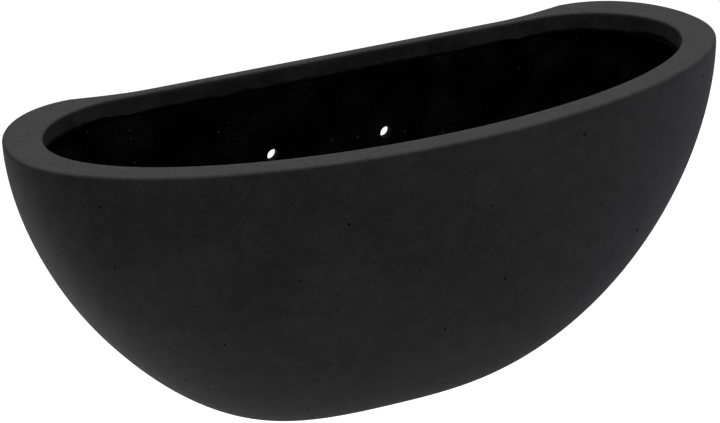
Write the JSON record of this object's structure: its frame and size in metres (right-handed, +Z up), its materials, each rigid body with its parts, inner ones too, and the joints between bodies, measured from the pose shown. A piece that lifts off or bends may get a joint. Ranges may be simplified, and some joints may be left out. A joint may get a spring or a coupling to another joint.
{
  "type": "wall planter",
  "caption": "Half-oval planting bowl in matt black fibre-reinforced clay, with a broad flat rim and a flat back that is drilled for hanging on a wall.",
  "frame": {"origin": "midway between the two wall holes, on the rear face of the back panel", "axes": "+X along the wall, +Y into the wall along the holes, +Z up"},
  "size_m": [0.5998, 0.216, 0.269],
  "materials": {
    "fibre_clay": "matte",
    "black_coating": "satin"
  },
  "bodies": {
    "root": {"bowl_shell": "fibre_clay", "back_panel": "fibre_clay", "rim_lip": "fibre_clay", "waterproof_lining": "black_coating"}
  },
  "joints": []
}
